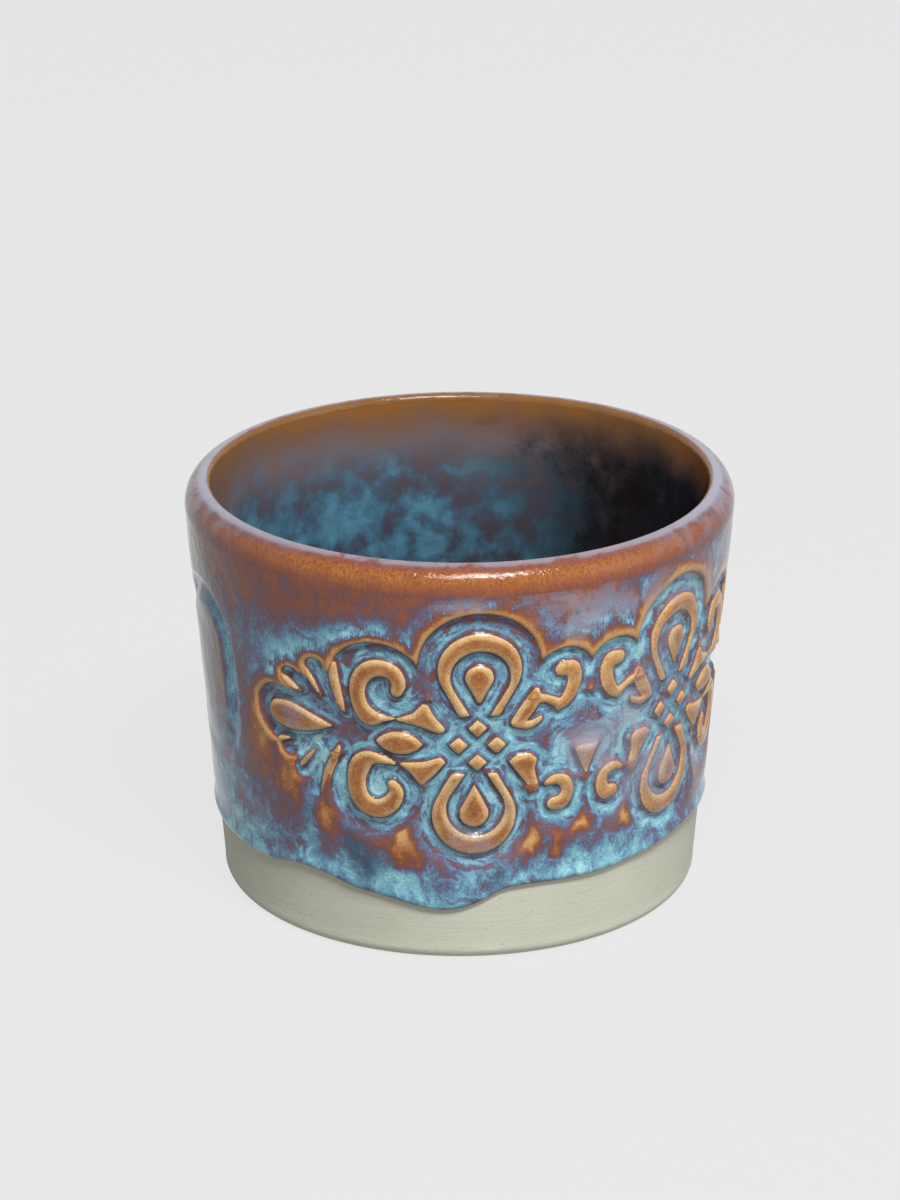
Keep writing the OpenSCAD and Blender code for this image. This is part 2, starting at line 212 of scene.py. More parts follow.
# Places where the glaze lies deeper or thinner: along, up, half length, half height, change of depth
POOLS = [
    (-24, 41.5, 7, 3.4, 0.18), (-17, 44.2, 5, 2.4, 0.16), (-12, 46.4, 6, 2, 0.1), (19, 45.5, 5, 2.5, 0.16),
    (31.5, 49.5, 9, 2.2, 0.06), (-20.5, 18, 1.5, 5, 0.28), (-38, 19, 7, 7, 0.14), (-30, 18, 2.4, 3, 0.1),
    (17, 13, 8, 3, 0.14), (28, 16, 7, 4, 0.04), (-34, 30, 1.6, 12, 0.1), (-20, 27.5, 3, 2.5, 0.26),
    (-10.5, 24, 1.6, 1.6, 0.28), (-16, 23, 1.6, 4, 0.12), (-5, 22, 1.6, 5, 0.08), (12.5, 39.5, 2.5, 2, 0.24),
    (20.5, 36, 1.4, 5, 0.1), (13, 30, 1.2, 5, 0.24), (22, 26, 1.2, 5, 0.06), (17, 24, 3, 3, 0.16),
    (4.5, 42.5, 4, 3.5, -0.16), (4, 47.5, 5, 1.8, -0.1), (24, 32, 8, 10, 0.04), (1, 10, 4, 2.6, -0.16),
    (-46, 45, 8, 6, 0.1), (-8, 11.4, 2.4, 2, 0.14), (42, 46, 6, 5, 0.14), (36, 13, 5, 3, -0.1),
    (-15.2, 31.4, 2.4, 2.6, -0.3), (-4.2, 39, 1.4, 2.6, -0.26), (-14.2, 41.8, 1.3, 1.6, -0.3),
    (17, 31, 4, 5, -0.2), (10.5, 31.5, 1.5, 2.5, -0.2), (-19.2, 36.6, 1.6, 2.2, -0.2),
    (-28.5, 27.5, 2.8, 4.4, -0.28), (-42, 34, 5, 9, -0.04), (-43, 20, 5, 8, 0.18), (-23.5, 23, 2.6, 3, -0.2),
    (-18.6, 19.5, 1.4, 3.4, -0.3),
]
# Corners of the thin wedges of glaze between the rounds of the ground's lower edge
WEDGES = [
    [(-7, 20.4), (-9.4, 16.5), (-8.6, 13.2), (-4.6, 13), (-5, 16)],
    [(9.6, 20.2), (8.2, 17), (5.4, 14.6), (10.6, 15.6)],
    [(16.6, 21), (15.2, 17.6), (18, 17.4)],
    [(23.4, 20.6), (22, 16.4), (25.4, 16)],
    [(12.6, 17.8), (12, 14), (14.2, 14.4)],
]
# How much thinner the glaze is there, the distances over which that begins, the share of it that is left at
# their foot, and the heights between which it grows to the whole
WEDGE_THINS = 0.4
WEDGE_EDGE = (-0.7, 0.9)
WEDGE_FOOT = 0.72
WEDGE_RISE = (13, 20)
# Waves of their outlines: how far they go, and the rates along and up of those that move a place along or up
WAVE = 0.25
WAVE_ALONG = (0.6, 1.7)
WAVE_UP = (2.1, 0.8)
# Rings of deeper and thinner glaze along a petal's outline: distance inside it, half width, heights and
# lengths towards the ornament between which the ring begins, change of depth
PETAL_RINGS = [(-0.7, 1.4, (20, 30), (-4, 1), 0.3), (1.7, 0.8, (27, 31), (1, 5), -0.2)]
# Places where the glaze is milky and lavender, in the same way as the deeper ones
MILK = [
    (15, 47.5, 6, 3, 0.6), (17, 30, 4, 4, 0.6), (41, 46, 6, 5, 0.55), (1, 50.6, 5, 1.2, 0.55),
    (12, 51.6, 6, 1.8, 0.35), (25, 49, 8, 3, 0.42), (24, 33, 3, 4, 0.5), (31, 22, 5, 6, 0.35),
    (28, 40, 5, 6, 0.3), (-43, 35, 4, 6, 0.35), (-30, 17, 4, 3.4, 0.25), (-41, 24, 5, 5, 0.35),
    (-46, 46, 9, 5, 0.1), (24, 25, 9, 7, 0.4), (2, 18, 6, 5, 0.45), (-23, 32, 3, 3, 0.5),
]
# Places where it is dark petrol blue
DARK = [
    (-12.3, 12.8, 1.8, 2.6, 0.9), (-14.4, 15.8, 1.6, 2.4, 0.7), (5.4, 12.4, 1, 1.8, 0.6),
    (-20.6, 20, 1, 3, 0.3), (-43, 33, 4, 8, 0.35), (-42, 16, 4, 5, 0.3), (-42, 47, 5, 4, 0.35),
]


def wrapped(length):
    """Length round the wall, brought to within half a turn of the seen side."""
    return (length + HALF_ROUND) % (2 * HALF_ROUND) - HALF_ROUND


def eased(value, low, high):
    """0 below low, 1 above high, and a smooth step between them."""
    share = np.clip((value - low) / (high - low), 0, 1)
    return share * share * (3 - 2 * share)


def by_table(value, table):
    """The value that a table of pairs gives, on straight lines between them."""
    return np.interp(value, *zip(*table))


# Outlines: each function gives the distance to an outline, below zero inside it


def circle(x, y, at, r):
    return np.hypot(x - at[0], y - at[1]) - r


def drop(x, y, at, r, tip):
    """Round end with a tip below it, or above it where tip is negative."""
    side = np.abs(x - at[0])
    down = (at[1] - y) * math.copysign(1, tip)
    opening = math.acos(r / abs(tip))
    on_flank = side * -math.cos(opening) + down * math.sin(opening) > 0
    flank = side * math.sin(opening) + down * math.cos(opening) - r
    return np.where(on_flank, flank, np.hypot(side, down) - r)


def smooth_path(points):
    """Points on a Catmull-Rom curve through the given ones."""
    path = np.array(points, float)
    ends = np.vstack([2 * path[0] - path[1], path, 2 * path[-1] - path[-2]])
    share = np.linspace(0, 1, STROKE_STEPS, endpoint=False)[:, None]
    spans = []
    for a, b, c, d in zip(ends, ends[1:], ends[2:], ends[3:]):
        bend = (2 * a - 5 * b + 4 * c - d) * share**2 + (3 * b - a - 3 * c + d) * share**3
        spans.append(0.5 * (2 * b + (c - a) * share + bend))
    return np.vstack(spans + [path[-1:]])


def stroke(x, y, points):
    """Brush stroke through points of along, up and half width, on a smooth curve."""
    path = smooth_path(points) if len(points) > 2 else points
    nearest = np.full(np.shape(x), np.inf)
    for (x0, y0, r0), (x1, y1, r1) in zip(path, path[1:]):
        dx, dy = x1 - x0, y1 - y0
        share = np.clip(((x - x0) * dx + (y - y0) * dy) / (dx * dx + dy * dy), 0, 1)
        gap = np.hypot(x - x0 - share * dx, y - y0 - share * dy) - r0 - share * (r1 - r0)
        nearest = np.minimum(nearest, gap)
    return nearest


def polygon(x, y, corners, rounding):
    """Straight-sided outline with its corners rounded."""
    gap = np.full(np.shape(x), np.inf)
    inside = np.zeros(np.shape(x), bool)
    for (x0, y0), (x1, y1) in zip(corners, corners[1:] + corners[:1]):
        dx, dy = x1 - x0, y1 - y0
        share = np.clip(((x - x0) * dx + (y - y0) * dy) / (dx * dx + dy * dy), 0, 1)
        gap = np.minimum(gap, np.hypot(x - x0 - share * dx, y - y0 - share * dy))
        crosses = (y0 > y) != (y1 > y)
        inside ^= crosses & (x < x0 + dx * (y - y0) / (dy or np.inf))
    return np.where(inside, -gap, gap) - rounding


def union(*gaps):
    return np.minimum.reduce(gaps)


# The ornament's left half: places along and up, with a half width for strokes and a radius for rounds.
# The right half mirrors it.

SCROLLS = [
    [(-7.8, 38.3, 0.75), (-7.5, 39.5, 0.95), (-8.2, 40.9, 1.1), (-9.8, 41.45, 1.15), (-11.5, 40.8, 1.15),
     (-12.6, 39.3, 1.1), (-12.9, 37.4, 1.05), (-12.4, 35.5, 1.15), (-11.4, 34.4, 1.25), (-9.7, 34.35, 0.5),
     (-8.4, 34.5, 0.25)],
    [(-8.6, 25.1, 0.7), (-8.1, 24, 0.95), (-9, 22.3, 1.2), (-10.7, 21.4, 1.3), (-12.4, 21.9, 1.35),
     (-13.4, 23.5, 1.35), (-13.5, 25.5, 1.3), (-12.9, 27.3, 1.35), (-11.7, 28.5, 1), (-10, 28.5, 0.6),
     (-8.3, 28.15, 0.25)],
]
TRUMPETS = [
    [(-7.9, 34.4), (-5.7, 35.3), (-4.5, 36.7), (-4, 36.7), (-3.2, 35.1), (-1.9, 33.5), (-2, 33.1),
     (-2.6, 32.95), (-4.9, 33.8)],
    [(-7.6, 28.2), (-4.5, 28.5), (-2.4, 29.3), (-1.9, 28.7), (-3.2, 27), (-4.6, 25.6), (-4.9, 25.5),
     (-6.2, 27.1)],
]
INNER_SCROLLS = [
    [(12.9, 40.9, 1), (14, 40.9, 1.1), (14.6, 39.6, 1), (14.3, 37.8, 0.95), (13.4, 36.4, 0.8),
     (12.6, 35.7, 0.55)],
    [(7.2, 34.1, 0.75), (8.3, 35.6, 1), (9.3, 37.3, 0.9), (9.6, 38.4, 0.4)],
    [(9.4, 37.3, 0.75), (11, 37, 0.55), (12.6, 36.1, 0.65)],
    [(7.4, 34, 0.7), (8.6, 33.6, 0.55), (9.8, 34.1, 0.45), (10.2, 34.5, 0.3)],
    [(12.5, 21.9, 0.95), (13.6, 22, 1.05), (14.3, 23.3, 0.9), (13.9, 24.8, 0.85), (12.6, 25.4, 0.75),
     (11.4, 25, 0.4)],
]
# An open loop at the top and one at the foot of a column, each as place, radius and tip of its outer drop,
# its inner drop and the small drop in it, and the height at which the loop ends
LOOPS = [
    (((2.5, 41.6), 5.15, 11.3), ((2.6, 40.6), 3.7, 7.5), ((2.45, 40.6), 1.75, 3.8), 35.2),
    (((1.9, 21), 5.45, -11.6), ((2.1, 22), 3.8, -7.3), ((1.9, 21.4), 1.9, -4.2), 27.2),
]
# Straight-sided figures, and how round their corners are. The trumpets' are as round as the point's.
HORN = [
    (6.5, 28.6), (7.3, 29.3), (9, 29.4), (9.8, 28.6), (9.5, 27.2), (10.1, 24.7), (9.8, 24.2), (8.6, 25.7),
]
HORN_ROUND = 0.2
POINT = [(15.2, 29.4), (18.5, 29.4), (16.85, 25.6)]
POINT_ROUND = 0.15
# Four lozenges: their common middle, how far each is from it, half its diagonal, and its rounding
LOZENGES_AT = (2.3, 31.1)
LOZENGE_STEP = 2.4
LOZENGE_R = 1.08
LOZENGE_ROUND = 0.12
# A lens: its middle, half its length and half its height
LENS_AT = (-7.6, 31.1)
LENS_L = 3.05
LENS_H = 1.6
LEAVES = [
    [(-24.9, 32.1, 1.7), (-23, 32.1, 2), (-20, 32, 1.3), (-16.8, 32.1, 0.15)],
    [(-16, 41, 0.45), (-15.9, 38.5, 0.7), (-15.4, 36.2, 0.6), (-14.9, 34.6, 0.25)],
    [(-20.7, 40.1, 0.35), (-19.5, 38.3, 0.5), (-18.1, 36.2, 0.15)],
    [(-24.3, 37.5, 0.4), (-22.8, 36.9, 0.45), (-21, 36.1, 0.12)],
    [(-15.7, 29.4, 0.25), (-16.6, 27.5, 0.55), (-17.7, 25, 0.6), (-18.2, 22.5, 0.6), (-17.6, 20, 0.6)],
    [(-19.3, 28.3, 0.15), (-20.6, 26.8, 0.35), (-21.8, 25.4, 0.3)],
    [(-23.1, 28.9, 0.12), (-25, 28.3, 0.4)],
]
GROUND_ROUNDS = [
    (2.5, 42, 7.7), (-10.4, 38.6, 6.45), (13.2, 39.9, 4.2), (2, 20.6, 7.7), (-11, 23.9, 6.5),
    (13.2, 22.3, 4.2),
]
GROUND_BAND = [(-14, 25), (18, 25), (18, 37.5), (-14, 37.5)]
LEAF_GROUND = [
    [(-24.8, 32.1, 4.1), (-21, 32.1, 3.9), (-15, 32, 3.5)],
    [(-22.8, 37.9, 1.3), (-20, 36.9, 1.6)],
    [(-18.7, 39.9, 1.55), (-17.2, 36.5, 1.9)],
    [(-23.6, 27.6, 1.5), (-20, 29, 2)],
    [(-21.4, 24.8, 1.6), (-19, 28, 2)],
    [(-19.8, 22.6, 1.4), (-18.5, 27, 2)],
]


def loops(x, y):
    """The open loop at the top of a column and the one at its foot, each with a drop in it."""
    gaps = []
    for outer, inner, small, end in LOOPS:
        beyond = (end - y) * math.copysign(1, outer[2])
        gaps.append(np.maximum.reduce([drop(x, y, *outer), -drop(x, y, *inner), beyond]))
        gaps.append(drop(x, y, *small))
    return union(*gaps)


def lozenges(x, y):
    """Four lozenges round the middle of a column."""
    side = np.abs(x - LOZENGES_AT[0])
    rise = np.abs(y - LOZENGES_AT[1])
    beside = (np.abs(side - LOZENGE_STEP) + rise - LOZENGE_R) / math.sqrt(2)
    above = (side + np.abs(rise - LOZENGE_STEP) - LOZENGE_R) / math.sqrt(2)
    return union(beside, above) - LOZENGE_ROUND


def lens(x, y):
    """Pointed oval between two arcs."""
    arc_r = (LENS_L**2 + LENS_H**2) / (2 * LENS_H)
    sink = arc_r - LENS_H
    low = circle(x, y, (LENS_AT[0], LENS_AT[1] - sink), arc_r)
    high = circle(x, y, (LENS_AT[0], LENS_AT[1] + sink), arc_r)
    return np.maximum(low, high)


def ornament(along, up, with_leaves):
    """Distances to the raised figures and to the sunk ground of one ornament."""
    x = MIDDLE - np.abs(along)
    brushed = SCROLLS + INNER_SCROLLS + (LEAVES if with_leaves else [])
    figures = union(
        loops(x, up), lozenges(x, up), lens(x, up), polygon(x, up, HORN, HORN_ROUND),
        *[polygon(x, up, corners, POINT_ROUND) for corners in [POINT, *TRUMPETS]],
        *[stroke(x, up, points) for points in brushed]
    )
    ground = union(
        polygon(x, up, GROUND_BAND, 0), *[circle(x, up, place[:2], place[2]) for place in GROUND_ROUNDS],
        *[stroke(x, up, points) for points in (LEAF_GROUND if with_leaves else [])]
    )
    return figures, ground


def towards_ornament(along):
    """Length from the middle of the nearest petal towards the front ornament."""
    return PETAL_AT - np.abs(wrapped(along - MIDDLE))


def relief(along, up):
    """Distances into the raised figures, into the sunk ground and into the petals, for the whole wall."""
    along, up = np.broadcast_arrays(along, up)
    front, front_ground = ornament(wrapped(along - MIDDLE), up, True)
    back, back_ground = ornament(wrapped(along - MIDDLE - HALF_ROUND), up, False)
    inward = towards_ornament(along)
    beside = np.where(inward > 0, inward, -inward * PETAL_R / PETAL_FAR_R)
    petal = np.hypot(beside, up - np.clip(up, PETAL_FOOT, PETAL_TOP)) - PETAL_R
    return -union(front, back), -union(front_ground, back_ground), -petal


def spread(along, up, places):
    """Sum of soft round spots, each of which is also on the other side of the cup."""
    total = 0 * along * up
    for place, height, half_l, half_h, change in places:
        for turn in (0, HALF_ROUND):
            away = (wrapped(along - place - turn) / half_l) ** 2 + ((up - height) / half_h) ** 2
            total = total + change * np.exp(-away)
    return total


def wave(along, up, rates):
    """Small waves over the wall, with their rates along and up."""
    return WAVE * np.sin(rates[0] * along + rates[1] * up)


def glaze_depth(along, up, sunk, petal):
    """Depth of the glaze beside the figures."""
    depth = by_table(up, DEPTH_BY_HEIGHT)
    depth = depth + (GROUND_DEPTH - depth) * sunk + spread(along, up, POOLS)
    wavy = up + wave(along, up, WAVE_UP)
    for corners in WEDGES:
        for turn in (0, HALF_ROUND):
            place = wrapped(along - turn) + wave(along, up, WAVE_ALONG)
            within = eased(-polygon(place, wavy, corners, 0), *WEDGE_EDGE)
            depth = depth - WEDGE_THINS * within * (WEDGE_FOOT + (1 - WEDGE_FOOT) * eased(up, *WEDGE_RISE))
    for inside, half_w, from_up, from_inward, change in PETAL_RINGS:
        ring = np.exp(-((petal - inside) / half_w) ** 2)
        depth = depth + change * ring * eased(up, *from_up) * eased(towards_ornament(along), *from_inward)
    return np.clip(depth, 0, 1)


def run_line(along):
    """Height at which the outer coat ends."""
    places, heights = zip(*RUN_LINE)
    line = np.interp(along, places, heights, period=2 * HALF_ROUND)
    round_the_back = np.concatenate([line[-RUN_SOFT - 1:-1], line, line[1:RUN_SOFT + 1]])
    size = 2 * RUN_SOFT + 1
    return np.convolve(round_the_back, np.ones(size) / size, "valid")


def ripples(turn, up):
    """Slight waves in the face of the outer coat."""
    reach, bend_rate = RIPPLES_BEND
    band_rate, band_count = RIPPLE_BANDS
    bands = np.sin(up * band_rate + band_count * turn)
    return RIPPLE * np.sin(RIPPLES_ROUND * turn + reach * np.sin(up * bend_rate)) * bands


def face(up, out):
    """Radius and height of a place on the wall, moved out of the clay's face square to it."""
    return BASE_R + up * math.tan(LEAN) + out * math.cos(LEAN), up - out * math.sin(LEAN)


def hand_made(turn, r, z):
    """The unevenness of a cup that was rolled by hand, as points in metres."""
    waves = sum(share * np.cos(count * turn + start) for share, count, start in WAVES_ROUND)
    bulge = BULGE * np.exp((np.cos(turn - BULGE_TURN) - 1) / BULGE_SPREAD)
    swell = 1 + (waves + bulge - DRAWN_IN) * z / HEIGHT
    sag = RIM_SAG * (1 - np.cos(turn)) / 2 * (z / HEIGHT) ** 2 * np.minimum(1, r / SAGS_FROM)
    return np.stack([r * swell * np.sin(turn), -r * swell * np.cos(turn), z - sag], -1) * MM


def unroll(mesh, column, row, r, z):
    """Lays the piece out flat for baking, a quarter of its round in each quarter of the square."""
    columns = r.shape[1] - 1
    steps = np.hypot(np.diff(r[:, 0]), np.diff(z[:, 0]))
    rise = np.concatenate([[0], np.cumsum(steps)]) / steps.sum()
    corner = np.empty(len(mesh.loops), int)
    mesh.loops.foreach_get("vertex_index", corner)
    first = column[corner].reshape(-1, CORNERS).min(1)
    quarter = np.repeat(first * QUARTERS // columns, CORNERS)
    across = column[corner] * QUARTERS / columns - quarter
    place = np.stack([across, rise[row[corner]]], -1) * (1 - 2 * MARGIN) + MARGIN
    place = (place + np.stack([quarter % 2, quarter // 2], -1)) / 2
    layer = mesh.uv_layers[0]
    layer.name = "OFBake"
    layer.data.foreach_set("uv", place.ravel())


def rolled_up(name, turn, r, z, values):
    """Adds a flat grid and rolls it up: a row for each step round the section, a column for each turn."""
    row_count, column_count = r.shape
    bpy.ops.object.select_all(action="DESELECT")
    bpy.ops.mesh.primitive_grid_add(x_subdivisions=column_count - 1, y_subdivisions=row_count - 1, size=1)
    piece = bpy.context.object
    piece.name = piece.data.name = name
    mesh = piece.data
    flat = np.empty(len(mesh.vertices) * 3)
    mesh.vertices.foreach_get("co", flat)
    flat = flat.reshape(-1, 3) + 0.5
    column = np.rint(flat[:, 0] * (column_count - 1)).astype(int)
    row = np.rint(flat[:, 1] * (row_count - 1)).astype(int)
    unroll(mesh, column, row, r, z)
    mesh.vertices.foreach_set("co", hand_made(turn, r, z)[row, column].ravel())
    for label, value in values.items():
        layer = mesh.attributes.new(label, "FLOAT", "POINT")
        layer.data.foreach_set("value", value[row, column].astype(np.float32))
    bpy.ops.object.mode_set(mode="EDIT")
    bpy.ops.mesh.select_all(action="SELECT")
    bpy.ops.mesh.remove_doubles(threshold=MERGED)
    bpy.ops.mesh.delete_loose()
    bpy.ops.mesh.normals_make_consistent(inside=False)
    bpy.ops.mesh.select_mode(type="EDGE")
    bpy.ops.mesh.select_all(action="DESELECT")
    bpy.ops.mesh.edges_select_sharp(sharpness=SHARP)
    bpy.ops.mesh.mark_sharp()
    bpy.ops.object.mode_set(mode="OBJECT")
    bpy.ops.object.shade_smooth()
    return piece


# Sections of the pieces, as rows of radius and height


def lip(steps, inset=0.0):
    """Points over the lip, from its shoulder outside to its edge inside, drawn in by an inset."""
    outer, _ = face(HEIGHT - SHOULDER_H, COAT - inset)
    inner, _ = face(HEIGHT - EDGE_H, -WALL - COAT + inset)
    crest, _ = face(HEIGHT - EDGE_H, -WALL - COAT + EDGE_W)
    angle = np.linspace(0, np.pi - LIP_STOPS, steps)
    outside = angle < np.pi / 2
    reach = np.where(outside, outer - crest, crest - inner)
    fall = np.where(outside, SHOULDER_H, EDGE_H)
    return crest + reach * np.cos(angle), HEIGHT - fall + (fall - inset) * np.sin(angle)


def around(columns):
    """Turns of the columns, and their lengths along the wall as one row."""
    turn = np.linspace(-np.pi, np.pi, columns + 1)
    return turn, turn[None, :] * ROLL_R


def rows(columns, *parts):
    """Rows of a section on top of each other. A list of numbers stands for rows that are even all round."""
    grids = [np.asarray(part, float) for part in parts]
    grids = [grid[:, None] if grid.ndim == 1 else grid for grid in grids]
    return np.vstack([np.broadcast_to(grid, (len(grid), columns)) for grid in grids])


def lip_glaze(turn):
    """Depth, milkiness and inner colour of the glaze over the lip, with a painted sheen along its crest and
    at the cup's two sides.
    """
    over_lip = np.linspace(0, 1, LIP_ROWS)[:, None]
    # Painted sheen: deeper and milkier glaze colour over the lip at the cup's two sides
    sheen_sides = np.sin(turn) ** SHEEN_SIDES_NARROW
    depth = by_table(over_lip, DEPTH_OVER_LIP) + SHEEN_SIDES_DEEPER * (1 - eased(over_lip, *SHEEN_SIDES_END)) * sheen_sides
    milk_and_sheen = by_table(over_lip, MILK_AND_SHEEN_OVER_LIP) + by_table(over_lip, SHEEN_AT_SIDES) * sheen_sides
    return depth, milk_and_sheen, eased(over_lip, *INNER_LIP_FROM)


def outer_coat():
    """Outer coat of glaze: it thins over the figures, pools on the ground and ends in a rolled edge."""
    turn, along = around(OUTER_COLUMNS)
    edge = run_line(along[0])[None, :]
    low = edge + (EVEN_FROM - edge) * np.linspace(0, 1, LOW_ROWS, endpoint=False)[:, None] ** LOW_CROWD
    up = rows(turn.size, low, np.arange(EVEN_FROM, HEIGHT - SHOULDER_H, EVEN_STEP))

    # The face of the coat
    figure, ground, petal = relief(along, up)
    thick = eased(along, *THICK_FROM) * (1 - eased(along, *THICK_TO)) + 0 * up
    figure = figure * (1 - THICK_SOFTENS * thick)
    ground = ground * (1 - THICK_SOFTENS * thick)
    raised = np.maximum(eased(figure, *FIGURE_SLOPE), eased(petal * PETAL_SOFT, *FIGURE_SLOPE))
    flooded = 1 - eased(up, *FLOODED)
    hollow = eased(ground, GROUND_SLOPE[0] - flooded, GROUND_SLOPE[1] + flooded) * eased(up, *GROUND_STARTS)
    groove = eased((petal + PETAL_GROOVE) * PETAL_SOFT, *GROUND_SLOPE) * eased(up, *PETAL_FADES)
    sunk = np.maximum(hollow, groove)
    height = up - edge
    bead = BEAD * np.exp(-((height - BEAD_H) / BEAD_H) ** 2)
    rolled = np.sqrt(1 - (1 - np.clip(height / ROLLED_H, 0, 1)) ** 2)
    out = (COAT + bead + ripples(turn, up)) * rolled - (COAT + PRESS - POOL) * sunk * (1 - raised)
    face_r, face_z = face(up, out)

    # The lip, and the coat's back from the lip down to the edge
    lip_r, lip_z = lip(LIP_ROWS)
    back_lip_r, back_lip_z = lip(BACK_LIP_ROWS, COAT)
    back_up, back_out = zip(*COAT_BACK)
    back_r, back_z = face(rows(turn.size, back_up, edge), rows(turn.size, back_out, [0]))
    r = rows(turn.size, face_r, lip_r, back_lip_r[::-1], back_r, face_r[:1])
    z = rows(turn.size, face_z, lip_z, back_lip_z[::-1], back_z, face_z[:1])

    # What the glaze is told
    depth = glaze_depth(along, up, hollow, petal) - EDGE_THINS * np.exp(-(height / EDGE_THIN_H) ** 2)
    lip_depth, lip_milk_and_sheen, lip_inside = lip_glaze(turn)
    not_face = np.zeros(len(r) - len(up))
    back = not_face[LIP_ROWS:]
    values = {
        "figure": rows(turn.size, np.clip(figure, -FAR, FAR), not_face - FAR),
        "ground": rows(turn.size, np.clip(ground, -FAR, FAR), not_face - FAR),
        "depth": rows(turn.size, depth, lip_depth, back),
        "milk_and_sheen": rows(turn.size, spread(along, up, MILK), lip_milk_and_sheen, back),
        "edge": rows(turn.size, 1 - flooded, not_face),
        "dark": rows(turn.size, spread(along, up, DARK), not_face),
        "lip": rows(turn.size, 0 * up, lip_inside, back),
        "thick": rows(turn.size, thick, not_face),
    }
    return rolled_up("outside_coat", turn, r, z, values)


def clay_wall():
    """The bare wall under the coats, with its rounded foot and the ornament pressed into it."""
    turn, along = around(CLAY_COLUMNS)
    even = np.arange(CLAY_FROM, HEIGHT - SHOULDER_H, CLAY_STEP)
    up = np.concatenate([np.linspace(*PLAIN_ROWS), even])[:, None]
    figure, ground, petal = relief(along, up)
    hollow = eased(ground, *CLAY_GROUND_SLOPE) * eased(up, *GROUND_STARTS)
    hollow = hollow * (1 - eased(figure, *CLAY_FIGURE_SLOPE))
    groove = eased((petal + PETAL_GROOVE) * PETAL_SOFT, *CLAY_GROUND_SLOPE) * eased(up, *PETAL_FADES)
    groove = groove * (1 - eased(petal * PETAL_SOFT, *CLAY_FIGURE_SLOPE))
    face_r, face_z = face(up, -CLAY_IN - (PRESS - CLAY_IN) * np.maximum(hollow, groove))
    foot_at = BASE_R - FOOT_ROUND * (1 - math.sin(LEAN)) / math.cos(LEAN)
    foot = np.linspace(-np.pi / 2, -LEAN, FOOT_ROWS)
    lip_r, lip_z = lip(CLAY_LIP_ROWS, COAT)
    bore_r, bore_z = face(np.linspace(BORE_TOP, 0, BORE_ROWS), -WALL)
    parts_r = [bore_r[-1:], foot_at + FOOT_ROUND * np.cos(foot), face_r, lip_r, bore_r, bore_r[-1:]]
    parts_z = [[0], FOOT_ROUND + FOOT_ROUND * np.sin(foot), face_z, lip_z, bore_z, [0]]
    return rolled_up("clay_wall", turn, rows(turn.size, *parts_r), rows(turn.size, *parts_z), {})


def inner_coat():
    """Inner coat of glaze, from the lip's edge over the coil in the corner to the middle of the floor."""
    turn, _ = around(INNER_COLUMNS)
    lip_r, lip_z = lip(LIP_ROWS)
    bore, _ = face(FLOOR + COIL_R, -WALL)
    middle_r = bore - COIL_R / math.cos(LEAN) + COIL_PRESS
    middle_z = FLOOR + COIL_R - COIL_PRESS
    hollow_r = COIL_R - COAT
    glazed, _ = face(middle_z, -WALL - COAT)
    corner_from = math.acos((glazed - middle_r) / hollow_r)
    corner_to = math.asin((middle_z - FLOOR - COAT) / hollow_r)
    corner = np.linspace(corner_from, corner_to, CORNER_ROWS)
    coil_r = middle_r + hollow_r * np.cos(corner)
    coil_z = middle_z - hollow_r * np.sin(corner)
    wall_r, wall_z = face(np.linspace(HEIGHT - EDGE_H, coil_z[0], INNER_WALL_ROWS), -WALL - COAT)
    floor_r = np.linspace(coil_r[-1], 0, FLOOR_ROWS)[1:]
    floor_z = 0 * floor_r + FLOOR + COAT
    back_r, back_z = face(np.array([FLOOR + COIL_R, HEIGHT - 2 * EDGE_H]), -WALL)
    parts_r = [lip_r[-1:], wall_r[1:-1], coil_r, floor_r, [0, middle_r], back_r, lip_r[-1:]]
    parts_z = [lip_z[-1:], wall_z[1:-1], coil_z, floor_z, [FLOOR, FLOOR], back_z, lip_z[-1:]]
    return rolled_up("inside_coat", turn, rows(turn.size, *parts_r), rows(turn.size, *parts_z), {})


class Shade:
    """A value or colour in a node tree. Sums on it add Math nodes."""

    def __init__(self, nodes, socket):
        self.nodes = nodes
        self.socket = socket

    def sum(self, operation, first, second):
        return self.nodes.node("ShaderNodeMath", {"operation": operation}, {0: first, 1: second})

    def __add__(self, other):
        return self.sum("ADD", self, other)

    def __sub__(self, other):
        return self.sum("SUBTRACT", self, other)

    def __mul__(self, other):
        return self.sum("MULTIPLY", self, other)

    def __rsub__(self, other):
        return self.sum("SUBTRACT", other, self)

    def at_least(self, other):
        return self.sum("MAXIMUM", self, other)

    __radd__ = __add__
    __rmul__ = __mul__


class Nodes:
    """A node tree and the one way in which nodes are added to it."""

    def __init__(self, tree):
        self.tree = tree

    def feed(self, socket, value):
        if isinstance(value, Shade):
            self.tree.links.new(value.socket, socket)
        else:
            socket.default_value = value

    def node(self, kind, settings, sockets, output=0):
        """Adds a node with its settings and its sockets, and gives one of its outputs."""
        made = self.tree.nodes.new(kind)
        for name, value in settings.items():
            if name == "stops":
                self.set_stops(made.color_ramp.elements, value)
            else:
                setattr(made, name, value)
        for name, value in sockets.items():
            self.feed(made.inputs[name], value)
        return Shade(self, made.outputs[output])

    def set_stops(self, elements, stops):
        for spare in list(elements)[1:]:
            elements.remove(spare)
        for number, (place, colour) in enumerate(stops):
            stop = elements.new(place) if number else elements[0]
            stop.position = place
            stop.color = colour

    def blend(self, share, first, second):
        """A number between two others."""
        return self.node("ShaderNodeMix", {}, {0: share, 2: first, 3: second})

    def seen_directly(self):
        """1 for the camera and for reflections, 0 for light that is scattered."""
        seen = self.node("ShaderNodeLightPath", {}, {}, "Is Camera Ray")
        for name in ("Is Glossy Ray", "Is Transmission Ray"):
            ray = self.node("ShaderNodeLightPath", {}, {}, name)
            seen = self.node("ShaderNodeMath", {"operation": "ADD", "use_clamp": True}, {0: seen, 1: ray})
        return seen


